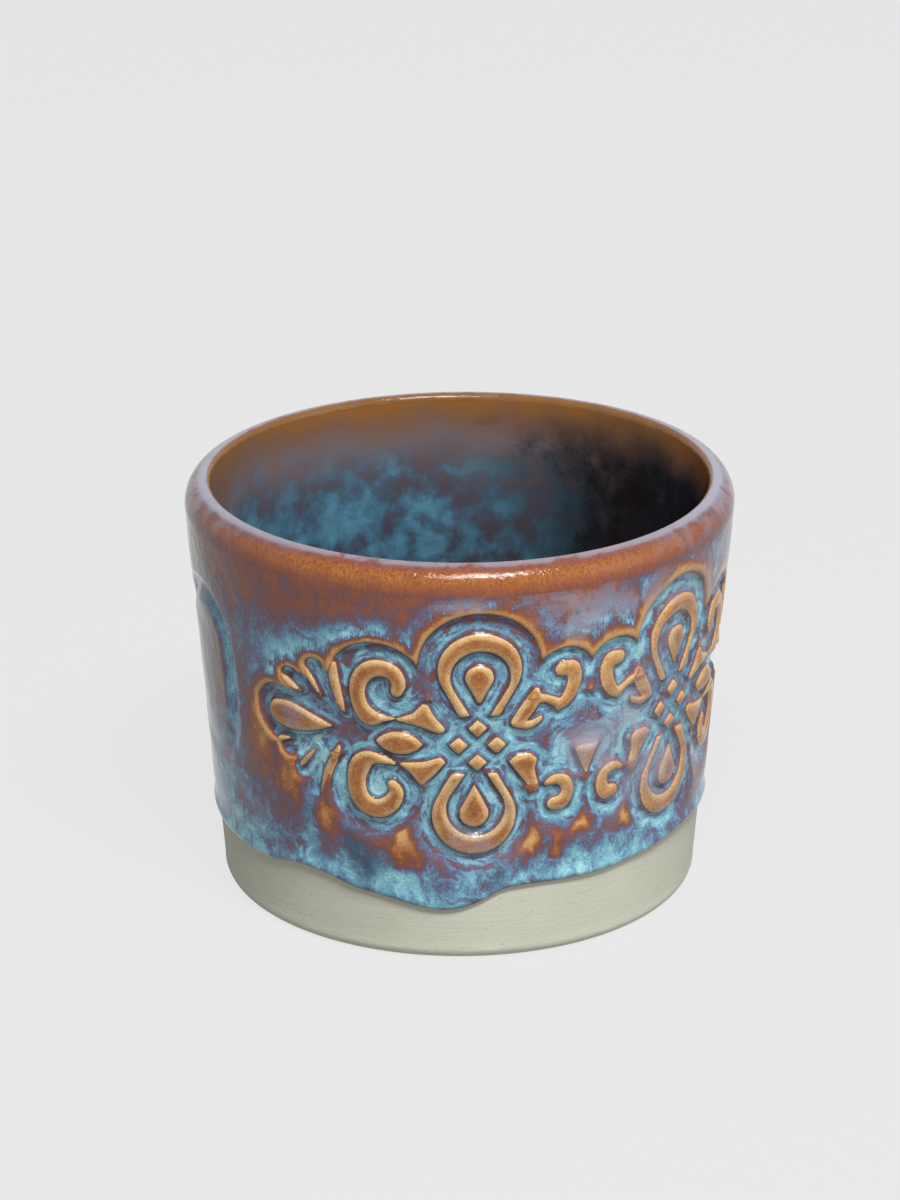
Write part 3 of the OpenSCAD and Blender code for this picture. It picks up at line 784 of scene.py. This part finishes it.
class Finish(Nodes):
    """A material, the nodes that it is made of, and its places in millimetres."""

    def __init__(self, name):
        self.material = bpy.data.materials.new(name)
        self.material.use_nodes = True
        super().__init__(self.material.node_tree)
        self.shader = self.tree.nodes["Principled BSDF"]

    def places(self, stretch=(1, 1, 1)):
        """Places on the piece in millimetres, stretched for a pattern."""
        here = self.node("ShaderNodeTexCoord", {}, {}, "Object")
        scale = [share / MM for share in stretch]
        return self.node("ShaderNodeMapping", {}, {"Vector": here, "Scale": scale})

    def axis(self, places, letter):
        return self.node("ShaderNodeSeparateXYZ", {}, {"Vector": places}, letter)

    def noise(self, places, scale, detail=2.0, distortion=0.0, drift=None, output=0):
        """Soft noise from 0 to 1, with a pattern that changes along a fourth length where drift is given."""
        sockets = {"Vector": places, "Scale": scale, "Detail": detail, "Distortion": distortion}
        if drift is not None:
            sockets["W"] = drift
        settings = {"noise_dimensions": "3D" if drift is None else "4D"}
        return self.node("ShaderNodeTexNoise", settings, sockets, output)

    def uneven(self, places, **sizes):
        """The same noise, but from -0.5 to 0.5."""
        return self.noise(places, **sizes) - 0.5

    def bent(self, places, scale, reach):
        """Places that are moved by up to about half the reach, for patterns that look stirred."""
        stir = self.noise(places, scale, output="Color")
        sockets = {0: stir, 1: [reach] * 3, 2: places}
        return self.node("ShaderNodeVectorMath", {"operation": "MULTIPLY_ADD"}, sockets)

    def step(self, value, low, high):
        """0 below low, 1 above high, and a smooth step between them."""
        sockets = {"Value": value, "From Min": low, "From Max": high}
        return self.node("ShaderNodeMapRange", {"interpolation_type": "SMOOTHSTEP"}, sockets)

    def slope(self, value, low, high):
        """0 below low, 1 above high, and a straight slope between them."""
        return self.node("ShaderNodeMapRange", {}, {"Value": value, "From Min": low, "From Max": high})

    def band(self, value, begins, ends):
        """1 where a value is past where a band begins and not past where it ends, with smooth steps."""
        return self.step(value, *begins) * (1 - self.step(value, *ends))

    def line(self, value, width):
        """1 where a value is 0, and 0 where it is more than the width away from that."""
        return 1 - self.step(self.node("ShaderNodeMath", {"operation": "ABSOLUTE"}, {0: value}), 0, width)

    def mixed(self, share, first, second):
        """A colour between two others."""
        return self.node("ShaderNodeMix", {"data_type": "RGBA"}, {0: share, 6: first, 7: second}, 2)

    def ramp(self, value, stops):
        return self.node("ShaderNodeValToRGB", {"stops": stops}, {"Fac": value})

    def layer(self, name):
        return self.node("ShaderNodeAttribute", {"attribute_name": name}, {}, "Fac")

    def bump(self, height, depth):
        return self.node("ShaderNodeBump", {}, {"Height": height, "Distance": depth * MM})

    def set(self, **sockets):
        for name, value in sockets.items():
            self.feed(self.shader.inputs[name.replace("_", " ")], value)
        return self.material


def tone(red, green, blue):
    """A colour as it shows on screen, from 0 to 255, as the linear colour that a shader takes."""
    shares = [value / 255 for value in (red, green, blue)]
    linear = [share / 12.92 if share <= 0.04045 else ((share + 0.055) / 1.055) ** 2.4 for share in shares]
    return linear + [1]


# Colours of the outer glaze by its depth, and of what lies in it or on it
BREAKING_GLAZE = [
    (0.0, tone(218, 188, 144)), (0.1, tone(200, 156, 100)), (0.18, tone(178, 120, 66)),
    (0.26, tone(150, 88, 40)), (0.34, tone(134, 76, 58)), (0.44, tone(108, 76, 82)),
    (0.55, tone(98, 92, 118)), (0.65, tone(94, 124, 156)), (0.77, tone(110, 162, 182)),
    (0.9, tone(134, 191, 206)), (1.0, tone(164, 211, 220)),
]
# Milky lavender of the glaze, also the colour of the painted sheen over the lip
MILKY_AND_SHEEN = tone(156, 156, 172)
PETROL = tone(50, 78, 100)
BURNT = tone(100, 56, 36)
GRAINS = tone(70, 62, 86)
# Dark line at a figure's foot: partly thinner glaze, partly painted shade in the crease
FOOT_THIN_AND_SHADE = tone(58, 40, 42)
FIGURE_SPECKS = tone(112, 66, 40)
INNER_LIP = tone(116, 74, 38)
INNER_LIP_PALE = tone(140, 98, 52)
# Colours of the inner glaze: its body by height, darker lower down partly as painted shade, its pools by
# their own depth, and its dark side, partly darker glaze and partly painted shade on the wall that faces
# away from the lights
# Body of the inner glaze, from amber at the lip to darker lower down, partly its own brown and partly
# painted shade deep in the cup
BODY_GLAZE_AND_DEPTH_SHADE = [
    (0.0, tone(60, 56, 62)), (0.4, tone(84, 76, 82)), (0.66, tone(112, 98, 100)), (0.8, tone(120, 90, 72)),
    (0.9, tone(136, 92, 50)), (1.0, tone(148, 86, 38)),
]
TEAL_GLAZE = [(0.34, tone(60, 66, 80)), (0.5, tone(66, 100, 122)), (0.68, tone(82, 130, 150))]
DARK_GLAZE_AND_SHADE_SIDE = tone(28, 20, 19)
# Colours of the clay and the slip on screen, how much darker and paler their clouds are, and the specks
CLAY = (202, 202, 185)
SLIP = (192, 188, 168)
CLAY_CLOUDS = (-10, 8)
CLAY_SPECKS = tone(128, 116, 96)

# Heights between which parts of the glazes begin or end
LOWER_ENDS = (13, 22)
UPPER_BEGINS = (30, 40)
PLUM_BEGINS = (40, 45)
PLUM_ENDS = (HEIGHT - 4.4, HEIGHT - 2.8)
CALM_BEGINS = (HEIGHT - 5, HEIGHT - 3)
RIM_BEGINS = (HEIGHT - 4.6, HEIGHT - 3.2)
CREST_BEGINS = (HEIGHT - 2.2, HEIGHT - 0.8)
BODY_HEIGHTS = (HEIGHT - 24, HEIGHT)
TEAL_ENDS = (HEIGHT - 15, HEIGHT - 5)
DARK_AND_SHADE_ENDS = (HEIGHT - 8, HEIGHT - 1)
# Steps of the glaze's depth inwards from a figure's outline: where each begins and ends, and its height
FIGURE_DEPTHS = [(0.03, 0.3, 0.08), (0.3, 0.95, 0.13), (1.3, 2.4, 0.24)]
# Distances outside a figure between which bands begin and end: a pale one, and the dark line at its foot,
# partly thinner glaze and partly painted shade in the crease
HALO = ((0.25, 0.6), (0.8, 1.9))
FOOT_THIN_AND_SHADE_BAND = ((-0.08, 0.06), (0.16, 0.42))
# The same for the ragged fringe round the sunk ground
FRINGE_BAND = ((0.9, 2.0), (1.8, 4.6))
# Distances over which a figure's and the ground's colours begin at their outlines, and over which the plain
# wall's begin beside the ground, where the glaze breaks
FIGURE_EDGE = (-0.12, 0.1)
GROUND_EDGE = (-0.05, 0.35)
BREAK_EDGE = (0.2, 1.2)
# Depths of the glaze between which threads and stirred patterns begin
THREADS_FROM = (0.46, 0.6)
STIRRED_FROM = (0.1, 0.4)
# How far a pattern is from its middle value across a wisp or a thread
WISP_W = 0.035
THREAD_W = 0.03
# Values of patterns between which the places that they make begin
BURNT_FROM = (-0.04, 0.16)
PETROL_FROM = (-0.3, 0)
MILKY_AND_SHEEN_FROM = (0.5, 0.74)
GRAINS_FROM = (0.57, 0.68)
FIGURE_SPECKS_FROM = (0.56, 0.7)
TEAL_FROM = (0.2, 0.62)
DARK_AND_SHADE_FROM = (20, 46)
CLAY_SPECKS_FROM = (0.7, 0.76)
# Patterns that are drawn out: upright hairs and runs in the glaze, and level marks of the tool in the clay
HAIR_STRETCH = (1, 1, 0.2)
FLOW_STRETCH = (1, 1, 0.4)
DRAG_STRETCH = (0.15, 0.15, 1.6)


def outside_finish():
    """Running glaze that breaks from amber on edges over plum to violet and turquoise where it lies deep."""
    glaze = Finish("running_glaze")
    here = glaze.places()
    height = glaze.axis(here, "Z")
    figure, ground, depth = glaze.layer("figure"), glaze.layer("ground"), glaze.layer("depth")
    edge, milk_and_sheen, thick = glaze.layer("edge"), glaze.layer("milk_and_sheen"), glaze.layer("thick")

    # Patterns
    bent = glaze.bent(here, scale=0.22, reach=5)
    bent_flow = glaze.bent(glaze.places(FLOW_STRETCH), scale=0.24, reach=5)
    swirl = glaze.uneven(bent, scale=0.45, detail=3)
    grain = glaze.uneven(here, scale=3.2, detail=3)
    speck = glaze.noise(here, scale=6.0, detail=1)
    hair = glaze.uneven(glaze.places(HAIR_STRETCH), scale=4.6, detail=4, distortion=0.8)
    flow = glaze.uneven(bent_flow, scale=0.5, detail=4)
    clouds = glaze.noise(bent, scale=0.3, detail=3)
    strands = glaze.uneven(bent, scale=0.5, detail=3, drift=figure * 3.4)
    tangle = glaze.uneven(bent, scale=0.5, detail=4, distortion=0.6)

    # Depth on the figures and on the sunk ground
    away = 0 - figure
    top = glaze.step(figure, *FIGURE_EDGE)
    sunk = glaze.step(ground, *GROUND_EDGE)
    on_figure = swirl * 0.22 + grain * 0.16 + thick * 0.05
    for low, high, rise in FIGURE_DEPTHS:
        on_figure = on_figure + rise * glaze.step(figure, low, high)
    on_ground = depth - 0.04 + 0.2 * glaze.band(away, *HALO) + strands * 1.35 + swirl * 0.36 + grain * 0.3
    on_ground = on_ground.at_least(0.42 + swirl * 0.5) + 0.13 * glaze.line(strands, WISP_W)

    # Depth on the plain wall: hairy above, stirred below, calm at the lip and thin beside the ground
    calm = 1 - 0.7 * glaze.step(height, *CALM_BEGINS)
    upper = glaze.step(height, *UPPER_BEGINS)
    lower = 1 - glaze.step(height, *LOWER_ENDS)
    stirred = hair * (0.1 + 0.4 * upper) + flow * (0.4 - 0.1 * upper)
    stirred = stirred + swirl * (0.7 - 0.3 * upper + 0.2 * lower)
    threads = glaze.line(tangle, THREAD_W) * glaze.step(depth, *THREADS_FROM) * (1 - upper)
    stirred = (stirred + grain * 0.35 + threads * 0.13) * (0.3 + 0.7 * glaze.step(depth, *STIRRED_FROM))
    outside = 0 - ground
    fringe = glaze.band(outside + hair * 3 + swirl * 2.4, *FRINGE_BAND) * upper * (0.2 + swirl * 0.9)
    plum = glaze.band(height, PLUM_BEGINS, PLUM_ENDS)
    on_wall = (depth + (stirred + fringe) * calm).at_least(0.1 + plum * 0.21)
    breaking = (1 - glaze.step(outside + swirl * 1.2, *BREAK_EDGE)) * edge
    on_wall = glaze.blend(breaking, on_wall, 0.12 + grain * 0.14)
    beside_figure = glaze.blend(sunk, on_wall, on_ground)
    colour = glaze.ramp(glaze.blend(sunk * top, beside_figure, on_figure), BREAKING_GLAZE)

    # Colours that lie over the glaze's own, among them painted shade at the figures' feet and a painted
    # sheen over the lip
    crest = glaze.step(height + hair * 2, *CREST_BEGINS)
    rim = glaze.step(height, *RIM_BEGINS)
    burnt = glaze.step(hair + grain * 0.7, *BURNT_FROM) * rim * (0.3 + 0.4 * crest)
    petrol = glaze.layer("dark") * glaze.step(flow + grain * 0.4, *PETROL_FROM)
    # Milky glaze, and the painted sheen over the lip
    milky_and_sheen = milk_and_sheen * glaze.step(clouds + grain * 0.3 + milk_and_sheen * 0.4, *MILKY_AND_SHEEN_FROM) * (1 - 0.15 * top)
    grains = glaze.step(speck, *GRAINS_FROM) * sunk * 0.34
    # Painted shade in the crease at a figure's foot, over glaze that is thinner there
    foot_thin_and_shade = glaze.band(away, *FOOT_THIN_AND_SHADE_BAND) * sunk * (0.5 - 0.4 * thick)
    specks = glaze.step(speck, *FIGURE_SPECKS_FROM) * top * 0.3
    lip_inside = glaze.mixed(clouds, INNER_LIP, INNER_LIP_PALE)
    over = [
        (burnt, BURNT), (petrol, PETROL), (milky_and_sheen, MILKY_AND_SHEEN), (grains, GRAINS), (foot_thin_and_shade, FOOT_THIN_AND_SHADE),
        (specks, FIGURE_SPECKS), (glaze.layer("lip"), lip_inside),
    ]
    for share, other in over:
        colour = glaze.mixed(share, colour, other)
    waves = glaze.bump(grain * 0.4 + swirl, depth=0.12)
    return glaze.set(Base_Color=colour, Roughness=0.04, Specular_IOR_Level=0.3, Normal=waves)


def inside_finish():
    """Dark brown glaze with teal pools, amber where it thins under the lip, and painted shade lower down and
    on the side that faces away from the lights.
    """
    glaze = Finish("pooled_glaze")
    here = glaze.places()
    height = glaze.axis(here, "Z")
    side = glaze.axis(here, "X")
    clouds = glaze.noise(here, scale=0.1, detail=2, distortion=0.3)
    blots = glaze.noise(here, scale=0.27, detail=5, distortion=0.2)
    grain = glaze.uneven(here, scale=2.5, detail=3)
    level = height + (clouds - 0.5) * 8 + grain * 2
    # Darker lower down: partly the glaze's own brown, partly painted shade deep in the cup
    body = glaze.ramp(glaze.slope(level, *BODY_HEIGHTS), BODY_GLAZE_AND_DEPTH_SHADE)
    teal = glaze.ramp(blots + grain * 0.12, TEAL_GLAZE)
    # Fewer teal pools towards +X, where the inner wall faces away from the lights
    pooled = glaze.step(clouds * 0.4 + blots + grain * 0.2 - side * 0.005 - height * 0.006, *TEAL_FROM)
    pooled = pooled * (1 - glaze.step(level, *TEAL_ENDS))
    # Darker glaze and painted shade towards +X, on the inner wall that faces away from the lights
    dark = glaze.step(side + clouds * 16 + blots * 24 + grain * 8, *DARK_AND_SHADE_FROM)
    dark = dark * (1 - glaze.step(level, *DARK_AND_SHADE_ENDS))
    colour = glaze.mixed(dark, glaze.mixed(pooled, body, teal), DARK_GLAZE_AND_SHADE_SIDE)
    waves = glaze.bump(clouds, depth=0.25)
    return glaze.set(Base_Color=colour, Roughness=0.08, Specular_IOR_Level=0.2, Normal=waves)


def clay_finish(name, colour_on_screen):
    """Bare fired stoneware: pale, matt, with fine specks and the drag of the potter's tool."""
    bare = Finish(name)
    here = bare.places()
    clouds = bare.noise(here, scale=0.12, detail=4)
    grain = bare.noise(here, scale=3.0, detail=4)
    drag = bare.noise(bare.places(DRAG_STRETCH), scale=1.4, detail=3)
    specks = bare.step(bare.noise(here, scale=2.2, detail=1), *CLAY_SPECKS_FROM)
    darker, paler = [tone(*[value + change for value in colour_on_screen]) for change in CLAY_CLOUDS]
    colour = bare.mixed(specks * 0.35, bare.mixed(clouds, darker, paler), CLAY_SPECKS)
    rough = bare.bump(grain * 0.8 + drag, depth=0.04)
    return bare.set(Base_Color=colour, Roughness=0.72, Normal=rough)


def dress(piece, slot, material, *nodes):
    """Gives a new piece its finish and its place under the root, and hides the solids that it stands for."""
    piece.data.materials.append(material)
    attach(piece, "root")
    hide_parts(*nodes)


clay = clay_finish("bare_clay", CLAY)
slip = clay_finish("fired_slip", SLIP)
dress(clay_wall(), "clay", clay, "wall_slab", "seam_slip")
dress(outer_coat(), "outside_glaze", outside_finish(), "outside_glaze")
dress(inner_coat(), "inside_glaze", inside_finish(), "inside_glaze")
for node, material in {"floor_disc": clay, "corner_coil": clay, "floor_slip": slip}.items():
    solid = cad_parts[node]
    solid.data.materials.clear()
    solid.data.materials.append(material)

# Pale studio: a floor that shows as an even grey, a softbox over the camera, and a weak light from the right
FLOOR_SIZE = 6.0
FLOOR_GREY = (0.35, 0.35, 0.35, 1)
FLOOR_GLOW = (0.86, 0.86, 0.86, 1)
GLOW_SHARE = 0.88
WHITE = (1, 1, 1, 1)
# Strength of the world as it lights the cup, and as it is seen
AMBIENT = 0.25
PALE = 0.8


def studio_floor():
    """Floor that glows towards the camera and in reflections, and takes the cup's shadow."""
    bpy.ops.object.select_all(action="DESELECT")
    bpy.ops.mesh.primitive_plane_add(size=FLOOR_SIZE)
    floor = bpy.context.object
    floor.name = "studio_floor"
    finish = Finish("studio_floor")
    finish.set(Base_Color=FLOOR_GREY, Roughness=0.9, Specular_IOR_Level=0.0)
    shaded = Shade(finish, finish.shader.outputs[0])
    glow = finish.node("ShaderNodeEmission", {}, {"Color": FLOOR_GLOW})
    share = finish.seen_directly() * GLOW_SHARE
    surface = finish.node("ShaderNodeMixShader", {}, {0: share, 1: shaded, 2: glow})
    finish.feed(finish.tree.nodes["Material Output"].inputs["Surface"], surface)
    floor.data.materials.append(finish.material)


def studio_world():
    """White world that lights the cup weakly and shows as a pale background."""
    world = bpy.data.worlds.new("studio")
    bpy.context.scene.world = world
    world.use_nodes = True
    nodes = Nodes(world.node_tree)
    background = world.node_tree.nodes["Background"]
    nodes.feed(background.inputs["Color"], WHITE)
    nodes.feed(background.inputs["Strength"], nodes.blend(nodes.seen_directly(), AMBIENT, PALE))


def softbox(name, azimuth, elevation, distance, width, height, power):
    """Area light that points at the cup. Azimuth 0 is over the camera, and it grows towards +X."""
    turn = math.radians(azimuth)
    rise = math.radians(elevation)
    direction = Vector((math.sin(turn) * math.cos(rise), -math.cos(turn) * math.cos(rise), math.sin(rise)))
    at = direction * distance
    bpy.ops.object.light_add(type="AREA", location=at)
    lamp = bpy.context.object
    lamp.name = name
    lamp.data.shape = "RECTANGLE"
    lamp.data.size = width
    lamp.data.size_y = height
    lamp.data.energy = power
    lamp.rotation_euler = (-at).to_track_quat("-Z", "Y").to_euler()


# The camera that was fitted to the photo, with its lens and sensor in millimetres
CAMERA_AT = Vector((0, -612.9, 286.8)) * MM
CAMERA_AIM = Vector((-1.24, 3.7, 35.6)) * MM
CAMERA_LENS = 151.8
SENSOR_W = 36


def photo_camera():
    bpy.ops.object.camera_add(location=CAMERA_AT)
    camera = bpy.context.object
    camera.data.lens = CAMERA_LENS
    camera.data.sensor_width = SENSOR_W
    camera.rotation_euler = (CAMERA_AIM - CAMERA_AT).to_track_quat("-Z", "Y").to_euler()
    bpy.context.scene.camera = camera


studio_floor()
studio_world()
softbox("key_softbox", azimuth=16, elevation=56, distance=0.7, width=0.3, height=0.08, power=5.4)
softbox("right_fill", azimuth=70, elevation=25, distance=0.9, width=0.5, height=0.5, power=1.0)
photo_camera()
bpy.context.scene.view_settings.view_transform = "Standard"
